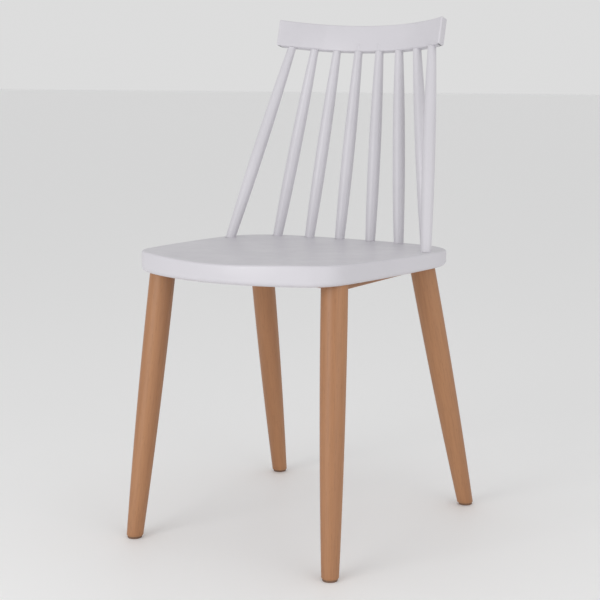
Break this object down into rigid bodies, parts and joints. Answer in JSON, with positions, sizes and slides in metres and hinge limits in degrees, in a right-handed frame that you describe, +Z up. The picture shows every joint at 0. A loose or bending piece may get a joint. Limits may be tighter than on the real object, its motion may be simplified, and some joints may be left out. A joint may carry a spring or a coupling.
{
  "type": "dining chair",
  "caption": "Dining chair: white moulded seat with rounded skirt, barrel-shaped spindles under a curved, leaning crest rail, on splayed tapered beech legs with rails.",
  "frame": {"origin": "on the floor, under the middle of the chair's overall box", "axes": "+Z up, front of the seat towards -Y, the sitter's left towards +X"},
  "size_m": [0.404, 0.4848, 0.8017],
  "materials": {
    "white_plastic": "satin white moulded polypropylene",
    "beech": "turned and planed beech, satin clear lacquer",
    "glide_nylon": "dark nylon",
    "black_steel": "black powder coat on pressed steel strip",
    "zinc_steel": "zinc-plated fasteners"
  },
  "bodies": {
    "root": {"bolt_nuts": "zinc_steel", "bolt_washers": "zinc_steel", "corner_plate_front_left": "black_steel", "corner_plate_front_right": "black_steel", "corner_plate_rear_left": "black_steel", "corner_plate_rear_right": "black_steel", "crest_rail": "white_plastic", "foot_glide_front_left": "glide_nylon", "foot_glide_front_right": "glide_nylon", "foot_glide_rear_left": "glide_nylon", "foot_glide_rear_right": "glide_nylon", "front_rail": "beech", "hanger_bolts": "zinc_steel", "leg_front_left": "beech", "leg_front_right": "beech", "leg_rear_left": "beech", "leg_rear_right": "beech", "plate_screws": "zinc_steel", "rail_dowels": "beech", "rear_rail": "beech", "seat": "white_plastic", "seat_screws": "zinc_steel", "side_rail_left": "beech", "side_rail_right": "beech", "spindle_inner_left": "white_plastic", "spindle_inner_right": "white_plastic", "spindle_outer_left": "white_plastic", "spindle_outer_right": "white_plastic", "spindle_screws": "zinc_steel", "spindle_second_left": "white_plastic", "spindle_second_right": "white_plastic", "spindle_third_left": "white_plastic", "spindle_third_right": "white_plastic"}
  },
  "joints": []
}
